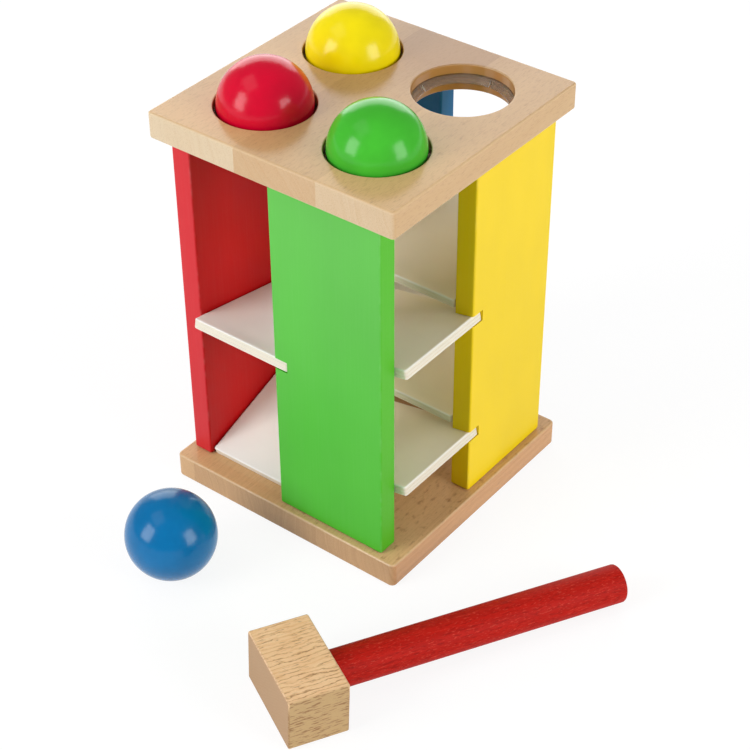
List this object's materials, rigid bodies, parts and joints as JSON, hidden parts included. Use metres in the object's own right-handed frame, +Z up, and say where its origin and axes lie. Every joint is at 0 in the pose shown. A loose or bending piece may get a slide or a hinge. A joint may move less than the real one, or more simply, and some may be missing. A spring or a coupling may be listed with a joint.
{
  "type": "ball pounding toy",
  "caption": "Wooden tower on a square base: balls are pounded with a hammer through holes in the top and roll down a spiral of ramps to an exit at the bottom.",
  "frame": {"origin": "centre of the base plate's underside, on the surface the toy stands on", "axes": "+Z up; -Y is the side where the balls roll out, half closed by the green panel; +X is the yellow panel's side"},
  "size_m": [0.262, 0.2763, 0.2626],
  "materials": {
    "beech": "clear satin varnish",
    "dowel_beech": "bare",
    "hammer_beech": "clear satin varnish",
    "red_stain": "satin stain, grain showing",
    "white_paint": "satin paint on plywood",
    "clear_plastic": "clear, flexible",
    "green_paint": "satin paint",
    "yellow_paint": "satin paint",
    "blue_paint": "satin paint",
    "red_paint": "satin paint",
    "red_lacquer": "gloss lacquer",
    "green_lacquer": "gloss lacquer",
    "blue_lacquer": "gloss lacquer",
    "yellow_lacquer": "gloss lacquer"
  },
  "bodies": {
    "tower": {"base_plate": "beech", "top_plate": "beech", "green_panel": "green_paint", "yellow_panel": "yellow_paint", "blue_panel": "blue_paint", "red_panel": "red_paint", "ramp_1_blue_side": "white_paint", "ramp_2_yellow_side": "white_paint", "ramp_3_green_side": "white_paint", "ramp_4_red_side": "white_paint", "ramp_5_blue_side": "white_paint", "ramp_6_yellow_side": "white_paint", "exit_ramp": "white_paint", "green_base_dowel_1": "dowel_beech", "green_base_dowel_2": "dowel_beech", "green_top_dowel_1": "dowel_beech", "green_top_dowel_2": "dowel_beech", "yellow_base_dowel_1": "dowel_beech", "yellow_base_dowel_2": "dowel_beech", "yellow_top_dowel_1": "dowel_beech", "yellow_top_dowel_2": "dowel_beech", "blue_base_dowel_1": "dowel_beech", "blue_base_dowel_2": "dowel_beech", "blue_top_dowel_1": "dowel_beech", "blue_top_dowel_2": "dowel_beech", "red_base_dowel_1": "dowel_beech", "red_base_dowel_2": "dowel_beech", "red_top_dowel_1": "dowel_beech", "red_top_dowel_2": "dowel_beech", "red_ball_ring": "clear_plastic", "green_ball_ring": "clear_plastic", "blue_ball_ring": "clear_plastic", "yellow_ball_ring": "clear_plastic"},
    "red_ball": {"red_ball": "red_lacquer"},
    "green_ball": {"green_ball": "green_lacquer"},
    "blue_ball": {"blue_ball": "blue_lacquer"},
    "yellow_ball": {"yellow_ball": "yellow_lacquer"},
    "hammer": {"hammer_head": "hammer_beech", "hammer_handle": "red_stain"}
  },
  "joints": [
    {"name": "red_ball_drop", "type": "slide", "parent": "tower", "child": "red_ball", "axis": [0, 0, 1], "range_m": [-0.1035, 0.05], "deforming": ["red_ball_ring"]},
    {"name": "green_ball_drop", "type": "slide", "parent": "tower", "child": "green_ball", "axis": [0, 0, 1], "range_m": [-0.0841, 0.05], "deforming": ["green_ball_ring"]},
    {"name": "yellow_ball_drop", "type": "slide", "parent": "tower", "child": "yellow_ball", "axis": [0, 0, 1], "range_m": [-0.1229, 0.05], "deforming": ["yellow_ball_ring"]},
    {"name": "blue_ball_roll", "type": "slide", "parent": "tower", "child": "blue_ball", "axis": [0, -1, 0], "range_m": [-0.036, 0.15]},
    {"name": "hammer_lift", "type": "slide", "parent": "tower", "child": "hammer", "axis": [0, 0, 1], "range_m": [0, 0.3]}
  ]
}
